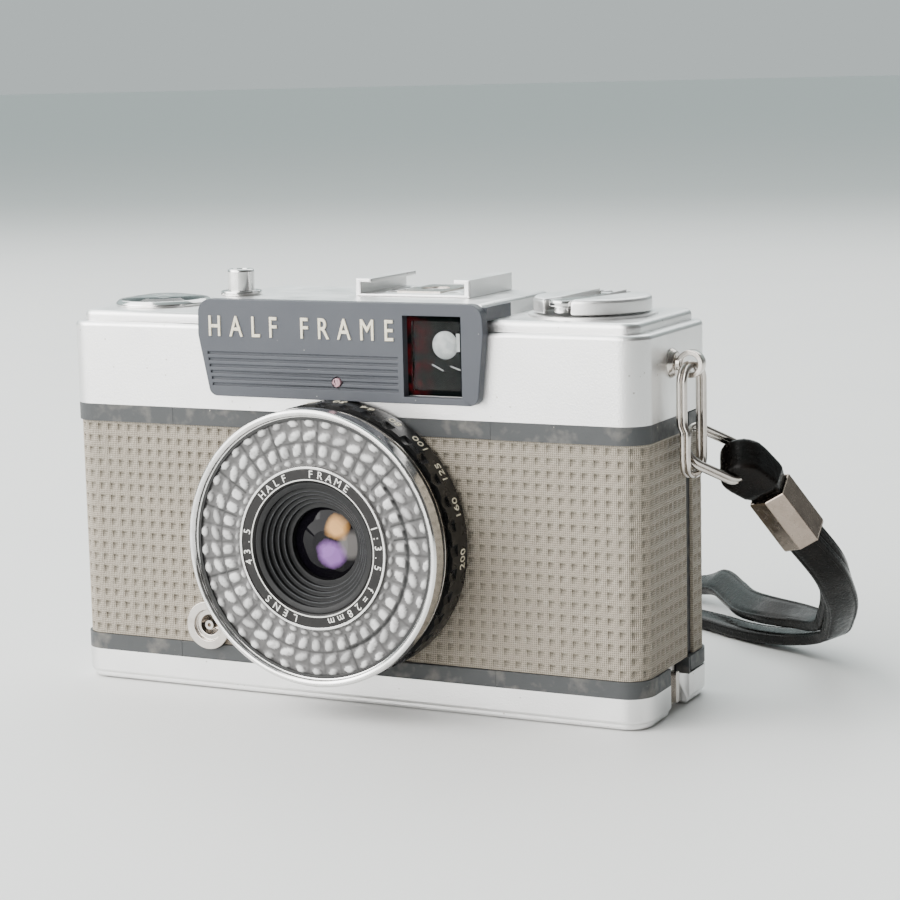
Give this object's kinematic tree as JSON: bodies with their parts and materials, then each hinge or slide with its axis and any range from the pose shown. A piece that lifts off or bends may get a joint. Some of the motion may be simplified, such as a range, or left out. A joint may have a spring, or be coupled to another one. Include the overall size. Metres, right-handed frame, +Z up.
{
  "type": "half frame camera",
  "caption": "Compact metal half frame film camera with a ringed light meter lens, an opening back and a leather wrist strap on its right lug.",
  "frame": {"origin": "centre of the tripod socket at the bottom cover's underside, midway between the front face and the door", "axes": "+X to the viewer's right seen from the front, +Y to the back door, +Z up"},
  "size_m": [0.1361, 0.1153, 0.0729],
  "materials": {
    "satin_chrome": "satin chrome plate, fine grain, lightly worn edges",
    "bright_chrome": "polished chrome plate",
    "steel": "plain ground steel",
    "grey_enamel": "blue grey hammered enamel, chipped at the edges",
    "black_enamel": "black satin enamel",
    "die_cast": "die cast alloy, matt black inside",
    "leatherette": "taupe grey embossed leatherette with square pits",
    "strap_leather": "black smooth leather, stitched edges",
    "glass": "clear coated glass",
    "clear_plastic": "moulded clear plastic",
    "cell": "selenium cell behind the window",
    "black_plastic": "black moulded plastic",
    "dial_white": "white printed dial",
    "red_dot": "faded red paint",
    "brass": "turned brass contact"
  },
  "bodies": {
    "camera": {"chassis": "die_cast", "front_plate": "grey_enamel", "leatherette_left": "leatherette", "leatherette_right": "leatherette", "bottom_cover": "satin_chrome", "top_cover": "satin_chrome", "front_panel": "grey_enamel", "index_dot": "red_dot", "window_glass": "glass", "finder_tunnel": "black_plastic", "finder_lens": "glass", "eyepiece_frame": "black_enamel", "eyepiece_glass": "glass", "button_collar": "bright_chrome", "counter_bezel": "bright_chrome", "counter_glass": "clear_plastic", "accessory_shoe": "satin_chrome", "shoe_spring": "steel", "shoe_screws": "steel", "lug_right": "bright_chrome", "lug_left": "bright_chrome", "strap": "strap_leather", "hinge_pin": "steel", "tripod_socket": "steel", "base_screws": "steel", "pc_socket": "bright_chrome", "pc_contact": "brass", "lens_base": "black_enamel", "lens_barrel": "black_enamel", "front_ring": "satin_chrome", "bubble_window": "clear_plastic", "selenium_cell": "cell", "name_ring": "black_enamel", "lens_tube": "black_enamel", "front_element": "glass", "rear_element": "glass", "shutter_housing": "die_cast", "shutter_blades": "black_plastic"},
    "button": {"shutter_button": "bright_chrome"},
    "counter": {"counter_dial": "dial_white"},
    "crank": {"rewind_crank": "bright_chrome"},
    "door": {"back_door": "black_enamel", "door_leatherette": "leatherette", "pressure_spring": "steel"},
    "latch": {"door_latch": "steel"},
    "spool": {"take_up_spool": "black_plastic"},
    "sprocket": {"sprocket_shaft": "steel"},
    "wheel": {"thumbwheel": "black_plastic"},
    "release": {"rewind_release": "steel"},
    "speed": {"speed_ring": "black_enamel"},
    "strap_ring": {"split_ring": "bright_chrome", "link_ring": "bright_chrome", "strap_loop": "strap_leather", "strap_clamp": "bright_chrome"},
    "rewind_slide": {"rewind_sleeve": "steel"},
    "rewind": {"rewind_shaft": "steel", "rewind_knob": "bright_chrome", "crank_pin": "steel"},
    "film_plate": {"pressure_plate": "die_cast"}
  },
  "joints": [
    {"name": "back_door_hinge", "type": "hinge", "parent": "camera", "child": "door", "pos_m": [-0.0549, 0.0048, 0.027], "axis": [0, 0, 1], "range_deg": [0, 100]},
    {"name": "film_plate_float", "type": "slide", "parent": "door", "child": "film_plate", "axis": [0, 1, 0], "range_m": [0, 0.0006], "stiffness_N_per_m": 200, "deforming": ["pressure_spring"]},
    {"name": "door_latch_slide", "type": "slide", "parent": "camera", "child": "latch", "axis": [0, 1, 0], "range_m": [0, 0.0024], "stiffness_N_per_m": 60},
    {"name": "shutter_button_press", "type": "slide", "parent": "camera", "child": "button", "axis": [0, 0, -1], "range_m": [0, 0.0022], "stiffness_N_per_m": 400},
    {"name": "rewind_lift", "type": "slide", "parent": "camera", "child": "rewind_slide", "axis": [0, 0, 1], "range_m": [0, 0.007]},
    {"name": "rewind_spin", "type": "hinge", "parent": "rewind_slide", "child": "rewind", "pos_m": [0.0396, -0.0006, 0.066], "axis": [0, 0, 1], "continuous": true},
    {"name": "rewind_crank_fold", "type": "hinge", "parent": "rewind", "child": "crank", "pos_m": [0.04105, 0.00481, 0.0679], "axis": [-0.9659, 0.2588, 0], "range_deg": [0, 160]},
    {"name": "thumbwheel_spin", "type": "hinge", "parent": "camera", "child": "wheel", "pos_m": [-0.0385, 0.0067, 0.052], "axis": [0, 0, 1], "continuous": true},
    {"name": "sprocket_spin", "type": "hinge", "parent": "camera", "child": "sprocket", "pos_m": [-0.0255, 0.0005, 0.027], "axis": [0, 0, 1], "continuous": true},
    {"name": "take_up_spin", "type": "hinge", "parent": "camera", "child": "spool", "pos_m": [-0.041, -0.003, 0.027], "axis": [0, 0, 1], "continuous": true},
    {"name": "counter_spin", "type": "hinge", "parent": "camera", "child": "counter", "pos_m": [-0.043, -0.0008, 0.0648], "axis": [0, 0, 1], "continuous": true},
    {"name": "rewind_release_press", "type": "slide", "parent": "camera", "child": "release", "axis": [0, 0, 1], "range_m": [0, 0.0009], "stiffness_N_per_m": 300},
    {"name": "speed_ring_turn", "type": "hinge", "parent": "camera", "child": "speed", "pos_m": [0.0005, -0.019, 0.0287], "axis": [0, -1, 0], "range_deg": [-75, 75]},
    {"name": "strap_ring_swing", "type": "hinge", "parent": "camera", "child": "strap_ring", "pos_m": [0.0573, -0.0025, 0.058], "axis": [0, 1, 0], "range_deg": [-22, 3], "deforming": ["strap"]}
  ],
  "couplings": [
    {"joint": "sprocket_spin", "follows": "thumbwheel_spin", "ratio": -1},
    {"joint": "take_up_spin", "follows": "thumbwheel_spin", "ratio": -1.25},
    {"joint": "counter_spin", "follows": "thumbwheel_spin", "ratio": 0.05}
  ]
}
